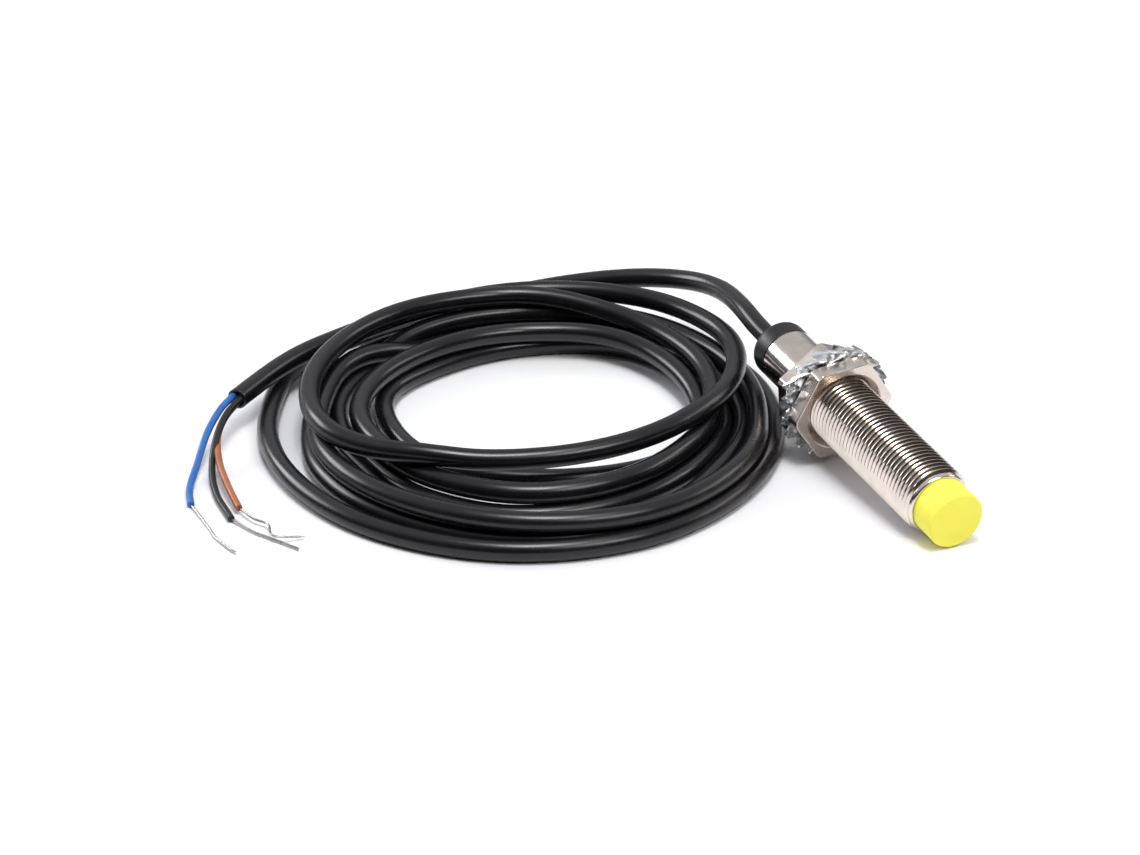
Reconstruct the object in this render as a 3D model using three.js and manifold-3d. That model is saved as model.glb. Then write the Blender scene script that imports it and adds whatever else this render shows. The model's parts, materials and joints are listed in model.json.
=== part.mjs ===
// An M12 inductive proximity sensor: a threaded brass barrel with a protruding sensing cap, its two
// mounting nuts and toothed lock washers, the electronics inside, and its moulded-in cable with
// stripped cores. It lies on a surface, resting on its washers and the front of its thread, with the
// cable coiled behind it. Millimetres, +Z up, +X from the cable end towards the sensing face.

import * as THREE from "three";
import { mergeVertices } from "three/addons/utils/BufferGeometryUtils.js";
import Module from "manifold-3d";

const wasm = await Module();
wasm.setup();

// Driving dimensions. Inside the sensor, x = 0 is the rear end of the barrel and x grows forwards.

const GAP = 0.3; // between pieces that touch
const SEAT = 0.1; // between a component and its board, and between the clamped nuts and washers
const ROUND = 48; // sides of a turned piece
const SMALL_ROUND = 24;
const WELD = 1e-4; // corners closer than this are one corner
const OVERSHOOT = 1; // of a cutting tool beyond what it cuts

const BARREL_LENGTH = 50.4;
const THREAD_RADIUS = 6; // crests of the M12 x 1 thread, which is made plain here
const THREAD_START = 8.2; // the barrel behind it is smooth
const THREAD_CHAMFER = 0.5;
const SMOOTH_RADIUS = 5.2;
const BORE_RADIUS = 4.75;

const CAP_RADIUS = 5;
const CAP_STICKS_OUT = 5; // beyond the seam at the barrel's front end
const CAP_SKIRT_START = 44;
const CAP_WALL = 0.5;
const CAP_FACE = 1;
const CAP_EDGE = 0.3;

const END_CAP_LENGTH = 4.6;
const END_CAP_EDGE = 1.6; // radius of its rounded rear edge
const END_CAP_EDGE_STEPS = 4;
const END_CAP_SKIRT = 3.2; // inside the barrel
const CABLE_HOLE_RADIUS = 2.1;

const NUT_ACROSS_FLATS = 16.7;
const NUT_CORNER_RADIUS = 9.4; // where the corners are turned off
const NUT_ROUND = 72; // sides of the turned corners
const NUT_THICKNESS = 3;
const NUT_BORE_RADIUS = 6.2;
const NUT_COUNTERSINK = 1; // depth and widening of the bore's mouths
const FRONT_NUT_REAR = 16.5;
const FRONT_NUT_TURN = 35.6; // degrees about the barrel
const REAR_NUT_TURN = 8.7;

const WASHER_THICKNESS = 0.95;
const WASHER_BORE_RADIUS = 6.3;
const WASHER_RIM_RADIUS = 8.3; // the flat ring inside the teeth
const WASHER_RADIUS = 10.25; // over the teeth
const WASHER_TEETH = 16;

const BOARD_START = 9;
const BOARD_END = 49.6;
const BOARD_WIDTH = 7;
const BOARD_THICKNESS = 0.8;
const SLEEVE_WALL = 0.3; // the insulating film round the board

const CORE_LENGTH = 3.8; // the sensing coil's pot core
const CORE_BASE_THICKNESS = 1.2;
const POT_WALL = 0.7;
const POST_RADIUS = 1.2;
const BOBBIN_WALL = 0.3;
const COIL_WIRE_RADIUS = 0.18;
const LEAD_OFFSET = 2.35; // of the winding's two leads from the axis
const LEAD_SLOT_WIDTH = 0.9;
const LEAD_SLOT_HEIGHT = 1;

const CABLE_RADIUS = 1.85;
const CORE_RADIUS = 0.62;
const STRANDS_RADIUS = 0.35;
const SOLDER_RADIUS = 0.62;
const STRAIGHT_OUT = 6; // of the cable behind the rear cap, before it bends

// The cable's coil: seven loose turns, whose outer turns lie flat and whose upper turns are smaller.
const COIL_CENTRE = new THREE.Vector2(-40.1, -46.9);
const COIL_INNER_RADIUS = 26;
const COIL_OUTER_RADIUS = 46.9;
const COIL_UPPER_RADIUS = 41;
const COIL_HEIGHT = 10.7;
const COIL_ROUND = 64;

// Routes of the free cable and its cores, on the surface z = 0.
const LEAD_ROUTE = [
  [-42, 1.5, 14],
  [-48.5, 2.6, 13.8],
  [-56, 3, 13.1],
  [-63.5, 2, 12],
  [-73.5, -2.5, 9.9],
  [-82, -9, 7.4],
  [-88.8, -16.5, 4.8],
  [-93, -24.5, 2.8],
  [-94.5, -33, 2],
  [-93.6, -43, 1.95],
  [-91.4, -52.5, 1.95],
  [-88.3, -61.6, 1.95],
  [-84.1, -69.9, 1.95],
];
const TAIL_ROUTE = [
  [-81.5, -60, 6.3],
  [-77, -72, 6.2],
  [-71, -81, 6],
  [-64.2, -89.4, 5.85],
];
const CORE_ROUTES = {
  blue: [
    [-64.6, -90.1, 6.2],
    [-61.5, -94, 5.6],
    [-57, -98.3, 3.9],
    [-51, -102, 1.7],
    [-44, -105.4, 0.7],
    [-38.4, -107.2, 0.7],
  ],
  brown: [
    [-63.4, -89.15, 6.2],
    [-60, -93, 5.9],
    [-54.5, -96.6, 4.6],
    [-46.5, -98.8, 3.1],
    [-39.4, -100, 1.9],
    [-32.8, -100.6, 1.2],
  ],
  black: [
    [-64, -89.63, 5],
    [-60.3, -94.2, 4.4],
    [-55.2, -97.7, 2.8],
    [-50, -99.8, 1.3],
    [-40.5, -101.9, 0.75],
    [-30.5, -102.8, 0.72],
  ],
};
const STRAND_ROUTES = {
  blue: [
    [-38.1, -107.25, 0.62],
    [-29.8, -107.1, 0.42],
    [-25.4, -107.3, 0.42],
    [-19.4, -106.1, 0.42],
  ],
  brown: [
    [-32.5, -100.6, 1.15],
    [-28.5, -99.6, 1],
    [-25.6, -98.2, 1],
    [-20.6, -99, 1.35],
    [-19.6, -94, 0.5],
  ],
  black: [
    [-30.2, -102.8, 0.62],
    [-25.1, -100.9, 0.42],
    [-21.2, -98.9, 0.42],
    [-16.1, -96.3, 0.42],
  ],
};

// Finishes.

function finish(color, roughness, metalness = 0) {
  return new THREE.MeshStandardMaterial({ color, roughness, metalness });
}

const NICKEL = finish(0xc9beb4, 0.25, 1);
const ZINC = finish(0xd5dce2, 0.2, 1);
const COPPER = finish(0xb8663a, 0.35, 1);
const TIN = finish(0xc8c9cc, 0.3, 1);
const FERRITE = finish(0x2b2a2c, 0.8);
const YELLOW_PLASTIC = finish(0xf4e51c, 0.5);
const BLACK_PLASTIC = finish(0x1c1b1e, 0.5);
const BOBBIN_PLASTIC = finish(0xe9e6dc, 0.5);
const SLEEVE_FILM = finish(0xd9c58a, 0.4);
const RESIN = finish(0x3a3630, 0.4);
const BOARD_GREEN = finish(0x1f6b3a, 0.5);
const CHIP_BLACK = finish(0x202022, 0.6);
const CERAMIC = finish(0xb49a78, 0.6);
const LED_RED = finish(0xd23227, 0.3);
const CABLE_PVC = finish(0x1b1b1f, 0.4);
const CORE_PVC = {
  blue: finish(0x2a63c0, 0.45),
  brown: finish(0x9a5a35, 0.45),
  black: finish(0x18181a, 0.45),
};

// Shape helpers. Each returns a geometry along the barrel's x axis unless it says otherwise.

// A turned piece: profile points are [x, radius]. A profile that isn't on the axis closes on itself.
function turned(profile, sides = ROUND) {
  const outline = profile.map(([x, radius]) => new THREE.Vector2(radius, x));
  if (THREE.ShapeUtils.area(outline) < 0) outline.reverse();
  if (outline.every((point) => point.x > 0)) outline.push(outline[0].clone());
  return new THREE.LatheGeometry(outline, sides).rotateZ(-Math.PI / 2);
}

function ring(start, end, inner, outer, sides = ROUND) {
  return turned([[start, inner], [start, outer], [end, outer], [end, inner]], sides);
}

function rod(start, end, radius, sides = SMALL_ROUND) {
  return turned([[start, 0], [start, radius], [end, radius], [end, 0]], sides);
}

function block(start, end, width, low, high, y = 0) {
  const box = new THREE.BoxGeometry(end - start, width, high - low);
  return box.translate((start + end) / 2, y, (low + high) / 2);
}

// A flat outline in the plane across the barrel, made thick from start to end.
function plate(outline, start, end) {
  const shape = new THREE.Shape(outline);
  const solid = new THREE.ExtrudeGeometry(shape, { depth: end - start, bevelEnabled: false });
  return solid.rotateY(Math.PI / 2).translate(start, 0, 0);
}

function polygon(corners, radiusAt) {
  return Array.from({ length: corners }, (_, i) => {
    const angle = (2 * Math.PI * i) / corners;
    const radius = radiusAt(i);
    return new THREE.Vector2(radius * Math.cos(angle), radius * Math.sin(angle));
  });
}

// A round tube that follows a smooth curve through the points.
function tube(points, radius, steps, sides = 8) {
  const passes = points.map((point) => new THREE.Vector3(...point));
  const extrudePath = new THREE.CatmullRomCurve3(passes, false, "centripetal");
  const section = new THREE.Shape(polygon(sides, () => radius));
  return new THREE.ExtrudeGeometry(section, { steps, extrudePath, bevelEnabled: false });
}

// manifold-3d joins and cuts closed geometries.
function solidOf(geometry) {
  const bare = geometry.index ? geometry.toNonIndexed() : geometry.clone();
  bare.deleteAttribute("normal");
  bare.deleteAttribute("uv");
  const merged = mergeVertices(bare, WELD);
  const vertProperties = merged.attributes.position.array;
  const triVerts = new Uint32Array(merged.index.array);
  return new wasm.Manifold(new wasm.Mesh({ numProp: 3, vertProperties, triVerts }));
}

function geometryOf(solid) {
  const { vertProperties, triVerts } = solid.getMesh();
  const geometry = new THREE.BufferGeometry();
  geometry.setAttribute("position", new THREE.BufferAttribute(vertProperties, 3));
  geometry.setIndex(new THREE.BufferAttribute(triVerts, 1));
  geometry.computeVertexNormals();
  return geometry;
}

function cut(geometry, ...tools) {
  return geometryOf(tools.reduce((solid, tool) => solid.subtract(solidOf(tool)), solidOf(geometry)));
}

function common(geometry, other) {
  return geometryOf(solidOf(geometry).intersect(solidOf(other)));
}

// The scene graph: the sensor is one group, tilted as it lies, and the free cable is another.

const part = new THREE.Group();
const sensor = new THREE.Group();
const cable = new THREE.Group();
part.add(sensor, cable);

function place(group, name, geometry, material) {
  const mesh = new THREE.Mesh(geometry, material);
  mesh.name = name;
  group.add(mesh);
}

// Housing.

function barrel() {
  return turned([
    [0, BORE_RADIUS],
    [0, SMOOTH_RADIUS],
    [THREAD_START, SMOOTH_RADIUS],
    [THREAD_START + THREAD_CHAMFER, THREAD_RADIUS],
    [BARREL_LENGTH - THREAD_CHAMFER, THREAD_RADIUS],
    [BARREL_LENGTH, THREAD_RADIUS - THREAD_CHAMFER],
    [BARREL_LENGTH, BORE_RADIUS],
  ]);
}

const CAP_SEAM = BARREL_LENGTH + GAP;
const CAP_FRONT = CAP_SEAM + CAP_STICKS_OUT;
const CAP_INSIDE = CAP_FRONT - CAP_FACE;
const CAP_SKIRT_RADIUS = BORE_RADIUS - GAP;
const CAP_INNER_RADIUS = CAP_SKIRT_RADIUS - CAP_WALL;

function sensingCap() {
  return turned([
    [CAP_INSIDE, 0],
    [CAP_INSIDE, CAP_INNER_RADIUS],
    [CAP_SKIRT_START, CAP_INNER_RADIUS],
    [CAP_SKIRT_START, CAP_SKIRT_RADIUS],
    [CAP_SEAM, CAP_SKIRT_RADIUS],
    [CAP_SEAM, CAP_RADIUS],
    [CAP_FRONT - CAP_EDGE, CAP_RADIUS],
    [CAP_FRONT, CAP_RADIUS - CAP_EDGE],
    [CAP_FRONT, 0],
  ]);
}

function rearEndCap() {
  const edgeStart = END_CAP_EDGE - END_CAP_LENGTH;
  const edgeCentre = SMOOTH_RADIUS - END_CAP_EDGE;
  const edge = Array.from({ length: END_CAP_EDGE_STEPS + 1 }, (_, i) => {
    const angle = (Math.PI / 2) * (i / END_CAP_EDGE_STEPS);
    return [edgeStart - END_CAP_EDGE * Math.sin(angle), edgeCentre + END_CAP_EDGE * Math.cos(angle)];
  });
  return turned([
    [END_CAP_SKIRT, CABLE_HOLE_RADIUS],
    [END_CAP_SKIRT, BORE_RADIUS - GAP],
    [-GAP, BORE_RADIUS - GAP],
    [-GAP, SMOOTH_RADIUS],
    ...edge,
    [-END_CAP_LENGTH, CABLE_HOLE_RADIUS],
  ]);
}

place(sensor, "threaded_barrel", barrel(), NICKEL);
place(sensor, "sensing_cap", sensingCap(), YELLOW_PLASTIC);
place(sensor, "rear_end_cap", rearEndCap(), BLACK_PLASTIC);

// Sensing coil: a winding on a bobbin in an open pot core, whose open side faces the sensing face.

const CORE_FRONT = CAP_INSIDE - GAP;
const CORE_BACK = CORE_FRONT - CORE_LENGTH;
const CORE_BASE = CORE_BACK + CORE_BASE_THICKNESS;
const POT_RADIUS = CAP_INNER_RADIUS - GAP;
const POT_INNER_RADIUS = POT_RADIUS - POT_WALL;

function ferriteCore() {
  const pot = turned([
    [CORE_BACK, 0],
    [CORE_BACK, POT_RADIUS],
    [CORE_FRONT, POT_RADIUS],
    [CORE_FRONT, POT_INNER_RADIUS],
    [CORE_BASE, POT_INNER_RADIUS],
    [CORE_BASE, POST_RADIUS],
    [CORE_FRONT, POST_RADIUS],
    [CORE_FRONT, 0],
  ]);
  const start = CORE_BACK - OVERSHOOT;
  const end = CORE_BASE + OVERSHOOT;
  const half = LEAD_SLOT_HEIGHT / 2;
  const slot = (y) => block(start, end, LEAD_SLOT_WIDTH, -half, half, y);
  return cut(pot, slot(LEAD_OFFSET), slot(-LEAD_OFFSET));
}

const BOBBIN_BACK = CORE_BASE + GAP;
const BOBBIN_FRONT = CORE_FRONT - SEAT;
const BOBBIN_TUBE_RADIUS = POST_RADIUS + GAP + BOBBIN_WALL;

function coilBobbin() {
  const inner = POST_RADIUS + GAP;
  const flange = POT_INNER_RADIUS - GAP;
  return turned([
    [BOBBIN_BACK, inner],
    [BOBBIN_BACK, flange],
    [BOBBIN_BACK + BOBBIN_WALL, flange],
    [BOBBIN_BACK + BOBBIN_WALL, BOBBIN_TUBE_RADIUS],
    [BOBBIN_FRONT - BOBBIN_WALL, BOBBIN_TUBE_RADIUS],
    [BOBBIN_FRONT - BOBBIN_WALL, flange],
    [BOBBIN_FRONT, flange],
    [BOBBIN_FRONT, inner],
  ], SMALL_ROUND);
}

function coilWinding() {
  const start = BOBBIN_BACK + BOBBIN_WALL + SEAT;
  const end = BOBBIN_FRONT - BOBBIN_WALL - SEAT;
  return ring(start, end, BOBBIN_TUBE_RADIUS + SEAT, POT_INNER_RADIUS - GAP - SEAT, SMALL_ROUND);
}

const BOARD_TOP = BOARD_THICKNESS / 2;

// From the slot in the core's base, over the board's end, to a pad near it.
function coilLead(side) {
  const y = side * LEAD_OFFSET;
  const height = BOARD_TOP + SEAT + COIL_WIRE_RADIUS;
  const route = [
    [CORE_BASE, y, 0],
    [CORE_BACK - GAP, y, 0],
    [BOARD_END - 0.4, y, height],
    [BOARD_END - 3, y, height],
  ];
  return tube(route, COIL_WIRE_RADIUS, 8, 6);
}

place(sensor, "ferrite_core", ferriteCore(), FERRITE);
place(sensor, "coil_bobbin", coilBobbin(), BOBBIN_PLASTIC);
place(sensor, "coil_winding", coilWinding(), COPPER);
place(sensor, "coil_lead_a", coilLead(1), COPPER);
place(sensor, "coil_lead_b", coilLead(-1), COPPER);

// Circuit board and its components: each has its middle, its length, width and height.

const board = block(BOARD_START, BOARD_END, BOARD_WIDTH, -BOARD_TOP, BOARD_TOP);
place(sensor, "circuit_board", board, BOARD_GREEN);

function component(name, material, [x, y], [length, width, height], under = false) {
  const near = BOARD_TOP + SEAT;
  const [low, high] = under ? [-near - height, -near] : [near, near + height];
  place(sensor, name, block(x - length / 2, x + length / 2, width, low, high, y), material);
}

component("oscillator_chip", CHIP_BLACK, [34, 0], [5, 4, 1.5]);
component("tuning_capacitor", CERAMIC, [41.5, 0.6], [3.2, 1.6, 1.3]);
component("bias_resistor", CHIP_BLACK, [41.5, -1.6], [2, 1.25, 0.55]);
component("supply_capacitor", CERAMIC, [27.5, 0], [3.2, 2.5, 1.8]);
component("output_transistor", CHIP_BLACK, [22.5, -1.4], [3, 1.5, 1.1]);
component("current_resistor", CHIP_BLACK, [22.5, 1.6], [2, 1.25, 0.55]);
component("polarity_diode", CHIP_BLACK, [16.8, 0], [4.3, 2.6, 2.1]);
component("status_led", LED_RED, [11.5, 0], [3, 1.6, 1.2], true);

const SLEEVE_RADIUS = BORE_RADIUS - GAP;
const sleeve = ring(BOARD_START, CAP_SKIRT_START - GAP, SLEEVE_RADIUS - SLEEVE_WALL, SLEEVE_RADIUS);
place(sensor, "insulating_sleeve", sleeve, SLEEVE_FILM);

// Cable entry: the jacket ends in the rear cap, and its cores fan out through the resin to the board.

const JACKET_END = END_CAP_SKIRT + 0.2;
const RESIN_START = JACKET_END + 0.4;
const RESIN_END = BOARD_START - 0.6;
const PAD_X = 11.6;
const PAD_SPACING = 2.4;
const PAD_HEIGHT = BOARD_TOP + SEAT;
const TUNNEL_CLEARANCE = 0.25; // round each core, through the resin

// The three cores lie in a triangle where the jacket ends. Each inner core's side is +1, 0 or -1.
const INNER_CORES = { brown: 1, black: 0, blue: -1 };
const MIDDLE_CORE_HEIGHT = 1;
const OUTER_CORE_HEIGHT = -0.3;

function innerCoreRoute(side) {
  const pad = PAD_HEIGHT + CORE_RADIUS + SEAT;
  return [
    [JACKET_END + GAP, side * 1.35, side ? OUTER_CORE_HEIGHT : MIDDLE_CORE_HEIGHT],
    [JACKET_END + 2.2, side * 1.6, 0.6],
    [BOARD_START - 0.4, side * PAD_SPACING, pad],
    [PAD_X - 1, side * PAD_SPACING, pad],
  ];
}

function coreTunnel(side) {
  const route = innerCoreRoute(side);
  const [, y, z] = route[0];
  return tube([[JACKET_END - OVERSHOOT, y, z], ...route], CORE_RADIUS + TUNNEL_CLEARANCE, 12);
}

place(sensor, "cable_jacket_end", rod(-END_CAP_LENGTH, JACKET_END, CABLE_RADIUS), CABLE_PVC);
for (const [colour, side] of Object.entries(INNER_CORES)) {
  place(sensor, `inner_core_${colour}`, tube(innerCoreRoute(side), CORE_RADIUS, 10), CORE_PVC[colour]);
  const solder = new THREE.SphereGeometry(SOLDER_RADIUS, 12, 8);
  solder.translate(PAD_X, side * PAD_SPACING, PAD_HEIGHT + SOLDER_RADIUS);
  place(sensor, `solder_joint_${colour}`, solder, TIN);
}

const resinPlug = rod(RESIN_START, RESIN_END, BORE_RADIUS - GAP, ROUND);
const coreTunnels = Object.values(INNER_CORES).map(coreTunnel);
place(sensor, "rear_potting", cut(resinPlug, ...coreTunnels), RESIN);

// Mounting nuts and lock washers, clamped together round the barrel.

function nut(rear, turn) {
  const front = rear + NUT_THICKNESS;
  const hexagon = plate(polygon(6, () => NUT_ACROSS_FLATS / Math.sqrt(3)), rear, front);
  const start = rear - OVERSHOOT;
  const end = front + OVERSHOOT;
  const round = rod(start, end, NUT_CORNER_RADIUS, NUT_ROUND);
  const blank = common(hexagon.rotateX(THREE.MathUtils.degToRad(turn)), round);
  const mouth = NUT_BORE_RADIUS + NUT_COUNTERSINK;
  const bore = turned([
    [start, 0],
    [start, mouth],
    [rear, mouth],
    [rear + NUT_COUNTERSINK, NUT_BORE_RADIUS],
    [front - NUT_COUNTERSINK, NUT_BORE_RADIUS],
    [front, mouth],
    [end, mouth],
    [end, 0],
  ]);
  return cut(blank, bore);
}

// Each tooth and each gap is a quarter of the outline's corners wide at its two sides. A tooth's middle
// points straight down.
function lockWasher(rear) {
  const front = rear + WASHER_THICKNESS;
  const isTooth = (i) => i % 4 < 2;
  const outline = polygon(4 * WASHER_TEETH, (i) => (isTooth(i) ? WASHER_RADIUS : WASHER_RIM_RADIUS));
  const toothMiddle = Math.PI / (4 * WASHER_TEETH);
  const teeth = plate(outline, rear, front).rotateX(-toothMiddle);
  return cut(teeth, rod(rear - OVERSHOOT, front + OVERSHOOT, WASHER_BORE_RADIUS, ROUND));
}

const FRONT_WASHER_REAR = FRONT_NUT_REAR - SEAT - WASHER_THICKNESS;
const REAR_WASHER_REAR = FRONT_WASHER_REAR - SEAT - WASHER_THICKNESS;
const REAR_NUT_REAR = REAR_WASHER_REAR - SEAT - NUT_THICKNESS;

place(sensor, "front_nut", nut(FRONT_NUT_REAR, FRONT_NUT_TURN), NICKEL);
place(sensor, "front_lock_washer", lockWasher(FRONT_WASHER_REAR), ZINC);
place(sensor, "rear_lock_washer", lockWasher(REAR_WASHER_REAR), ZINC);
place(sensor, "rear_nut", nut(REAR_NUT_REAR, REAR_NUT_TURN), NICKEL);

// The sensor lies nose down, on its front washer and the front end of its thread.

const WASHER_FRONT = FRONT_WASHER_REAR + WASHER_THICKNESS;
const THREAD_FRONT = BARREL_LENGTH - THREAD_CHAMFER;
sensor.rotation.y = Math.atan2(WASHER_RADIUS - THREAD_RADIUS, THREAD_FRONT - WASHER_FRONT);
sensor.updateMatrixWorld(true);
const lying = new THREE.Box3().setFromObject(sensor, true);
const middle = lying.getCenter(new THREE.Vector3());
sensor.position.set(-middle.x, 0, -lying.min.z);
sensor.updateMatrixWorld(true);

// Free cable: out of the rear cap, down to the surface behind it, round the coil and off its top.

const onAxis = (x) => sensor.localToWorld(new THREE.Vector3(x, 0, 0)).toArray();
const CABLE_EXIT = -END_CAP_LENGTH - GAP;
const leadRoute = [onAxis(CABLE_EXIT), onAxis(CABLE_EXIT - STRAIGHT_OUT), ...LEAD_ROUTE];
place(cable, "cable_lead", tube(leadRoute, CABLE_RADIUS, 40), CABLE_PVC);

const coil = turned([
  [0, COIL_INNER_RADIUS],
  [0, COIL_OUTER_RADIUS],
  [2 * CABLE_RADIUS, COIL_OUTER_RADIUS],
  [2 * CABLE_RADIUS, COIL_UPPER_RADIUS],
  [COIL_HEIGHT, COIL_UPPER_RADIUS],
  [COIL_HEIGHT, COIL_INNER_RADIUS],
], COIL_ROUND).rotateY(-Math.PI / 2).translate(COIL_CENTRE.x, COIL_CENTRE.y, 0);
place(cable, "cable_coil", coil, CABLE_PVC);

place(cable, "cable_tail", tube(TAIL_ROUTE, CABLE_RADIUS, 10), CABLE_PVC);
for (const colour of Object.keys(CORE_ROUTES)) {
  place(cable, `core_${colour}`, tube(CORE_ROUTES[colour], CORE_RADIUS, 16), CORE_PVC[colour]);
  place(cable, `strands_${colour}`, tube(STRAND_ROUTES[colour], STRANDS_RADIUS, 10, 6), TIN);
}

export default part;
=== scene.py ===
"""An M12 inductive proximity sensor with its nuts, toothed washers and moulded-in cable.

The packed CAD model is the frame. Every piece made here rides on one of its bodies. Sizes in the
property groups are in metres, and the tables of points below are in millimetres, like the part's.
"""
import json
import math

import bmesh
import bpy
import numpy as np
from bpy.props import FloatProperty, FloatVectorProperty, IntProperty, PointerProperty
from mathutils import Matrix, Vector


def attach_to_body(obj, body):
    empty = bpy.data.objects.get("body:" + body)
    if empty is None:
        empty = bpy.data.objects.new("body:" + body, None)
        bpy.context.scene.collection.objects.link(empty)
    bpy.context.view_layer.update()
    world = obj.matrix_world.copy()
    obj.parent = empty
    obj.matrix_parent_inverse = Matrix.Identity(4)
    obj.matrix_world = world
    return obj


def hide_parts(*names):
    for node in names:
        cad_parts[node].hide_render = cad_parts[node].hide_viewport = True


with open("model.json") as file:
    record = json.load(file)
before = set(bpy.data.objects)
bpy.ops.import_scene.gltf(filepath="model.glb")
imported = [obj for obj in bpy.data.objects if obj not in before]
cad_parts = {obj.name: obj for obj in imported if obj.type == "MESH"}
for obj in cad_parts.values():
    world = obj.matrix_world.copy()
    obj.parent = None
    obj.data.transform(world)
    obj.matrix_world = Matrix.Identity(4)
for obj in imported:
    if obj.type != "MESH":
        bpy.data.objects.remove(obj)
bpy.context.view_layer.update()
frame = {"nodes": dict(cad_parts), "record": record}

bl_info = {
    "name": "Proximity Sensor",
    "version": (1, 0, 0),
    "blender": (4, 5, 0),
    "location": "View3D > Sidebar > Sensor",
    "description": "Threaded inductive sensor with nuts, toothed washers and a coiled cable",
    "category": "Object",
}

MM = 0.001

# ---- where the sensor lies

TILT = math.radians(7.230242639)  # the barrel points down towards its face
BARREL_REAR = Vector((-25.416058532726822, 0.0, 12.232549330589343))  # mm, on the barrel's axis
AXIS = Vector((math.cos(TILT), 0.0, -math.sin(TILT)))
# Barrel millimetres, with x from the barrel's rear end to its face, to the frame's metres.
BARREL_FRAME = (
    Matrix.Translation(BARREL_REAR * MM)
    @ Matrix.Rotation(TILT, 4, "Y")
    @ Matrix.Scale(MM, 4)
)
ROW_FRAME = Matrix.Scale(MM, 4)


def on_axis(x):
    """The point of the barrel's axis x mm in front of its rear end."""
    return BARREL_REAR + AXIS * x


# ---- the cable's route, in mm

CABLE_START = -2.0  # on the barrel's axis, inside the rear cap
CABLE_EXIT = -4.6  # the rear cap's end face
STRAIGHT_OUT = 6.3  # before the cable bends
LEAD_ROUTE = [
    (-42, 0.6, 14.2), (-48.5, 1.7, 14.0), (-56, 2.6, 13.2), (-63.5, 1.9, 12), (-73.5, -2.5, 9.9),
    (-82, -9, 7.4), (-88.8, -16.5, 4.8), (-93, -24.5, 2.8), (-94.4, -33, 2), (-93.6, -43, 1.95),
    (-91.4, -52.5, 1.95), (-88.3, -61.6, 1.95), (-83.2, -70.6, 1.95),
]
TAIL_ROUTE = [(-81.5, -60, 6.3), (-77, -72, 6.2), (-71, -81, 6), (-64.2, -89.4, 5.85)]

COIL_CENTRE = (-40.1, -46.9)
COIL_RIGHT = (0.434, 0.901)  # the direction that the turns' angles are counted from
COIL_AWAY = (-0.901, 0.434)
TURN_START = 180  # degrees
TURN_STEP = 30
# (radius, height) of the cable's centre at each step of its seven turns.
COIL_TURNS = [
    [(43.2, 1.85), (42.4, 1.85), (44.2, 1.85), (46.4, 1.85), (47.0, 1.85), (45.8, 1.85),
     (46.0, 1.85), (47.6, 1.85), (48.3, 1.85), (46.5, 1.85), (43.5, 1.85), (38.5, 1.85)],
    [(35.4, 1.85), (36.8, 1.85), (39.4, 1.85), (42.7, 1.85), (43.0, 1.85), (39.0, 1.85),
     (40.3, 1.85), (42.3, 1.85), (44.4, 1.85), (42.0, 1.85), (38.8, 2.5), (35.6, 4.4)],
    [(33.8, 5.2), (36.2, 5.3), (39.4, 5.3), (43.2, 5.3), (45.3, 5.2), (44.3, 5.0),
     (43.0, 4.8), (44.4, 5.0), (45.8, 5.2), (43.8, 5.0), (39.2, 3.4), (34.9, 1.85)],
    [(30.4, 1.85), (27.9, 1.85), (30.8, 1.85), (34.0, 1.85), (34.4, 1.85), (34.6, 1.85),
     (36.7, 1.85), (38.3, 1.85), (40.3, 1.85), (34.9, 1.85), (29.5, 1.85), (26.6, 1.85)],
    [(21.4, 1.85), (19.5, 1.85), (19.3, 1.85), (20.0, 1.85), (23.2, 1.85), (29.3, 1.85),
     (33.1, 2.0), (34.8, 4.0), (36.6, 5.2), (33.8, 5.2), (30.0, 5.2), (27.8, 5.2)],
    [(27.0, 5.2), (26.6, 5.2), (28.8, 5.3), (32.5, 5.3), (33.5, 5.3), (33.0, 5.3),
     (34.8, 5.3), (38.5, 6.0), (42.3, 6.9), (43.9, 8.3), (41.5, 8.8), (37.6, 8.8)],
    [(35.6, 8.8), (34.6, 8.7), (28.2, 8.0), (24.6, 7.6), (25.4, 7.7), (29.6, 8.3),
     (36.8, 8.8), (45.0, 8.9), (49.0, 8.5), (47.4, 7.9), (44.4, 6.7)],
]

CORE_ROUTES = {
    "blue": [(-64.6, -90.1, 6.3), (-61.0, -93.6, 6.0), (-56.6, -97.6, 4.3), (-50.7, -101.6, 1.8),
             (-44, -105.4, 0.7), (-38.4, -107.1, 0.7)],
    "brown": [(-64.1, -89.7, 4.9), (-60.7, -93.0, 4.3), (-56.1, -95.9, 3.5), (-47.9, -98.6, 2.6),
              (-39.4, -100, 1.9), (-32.8, -100.6, 1.2)],
    "black": [(-63.4, -89.15, 6.1), (-59.8, -92.7, 5.7), (-54.9, -96.4, 4.3), (-48.9, -99.6, 1.7),
              (-40.5, -101.9, 0.75), (-30.5, -102.8, 0.72)],
}
STRAND_ROUTES = {
    "blue": [(-38.6, -107.0, 0.68), (-29.8, -107.0, 0.45), (-25.4, -107.15, 0.45),
             (-19.4, -106.1, 0.45)],
    "brown": [(-33.2, -100.55, 1.2), (-28.5, -99.6, 1.0), (-25.6, -98.2, 1.0),
              (-20.6, -99, 1.35), (-19.6, -94, 0.5)],
    "black": [(-31.0, -102.75, 0.68), (-25.1, -100.9, 0.45), (-21.2, -98.9, 0.45),
              (-16.1, -96.3, 0.45)],
}

# ---- sizes and colours


def amount_property(name, description, default, **kind):
    return FloatProperty(name=name, description=description, default=default, min=0.0, **kind)


def length_property(name, description, default):
    return amount_property(
        name, description, default, precision=5, subtype="DISTANCE", unit="LENGTH"
    )


def colour_property(name, description, default):
    return FloatVectorProperty(
        name=name, description=description, default=default, size=3, min=0.0, max=1.0,
        subtype="COLOR",
    )


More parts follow.
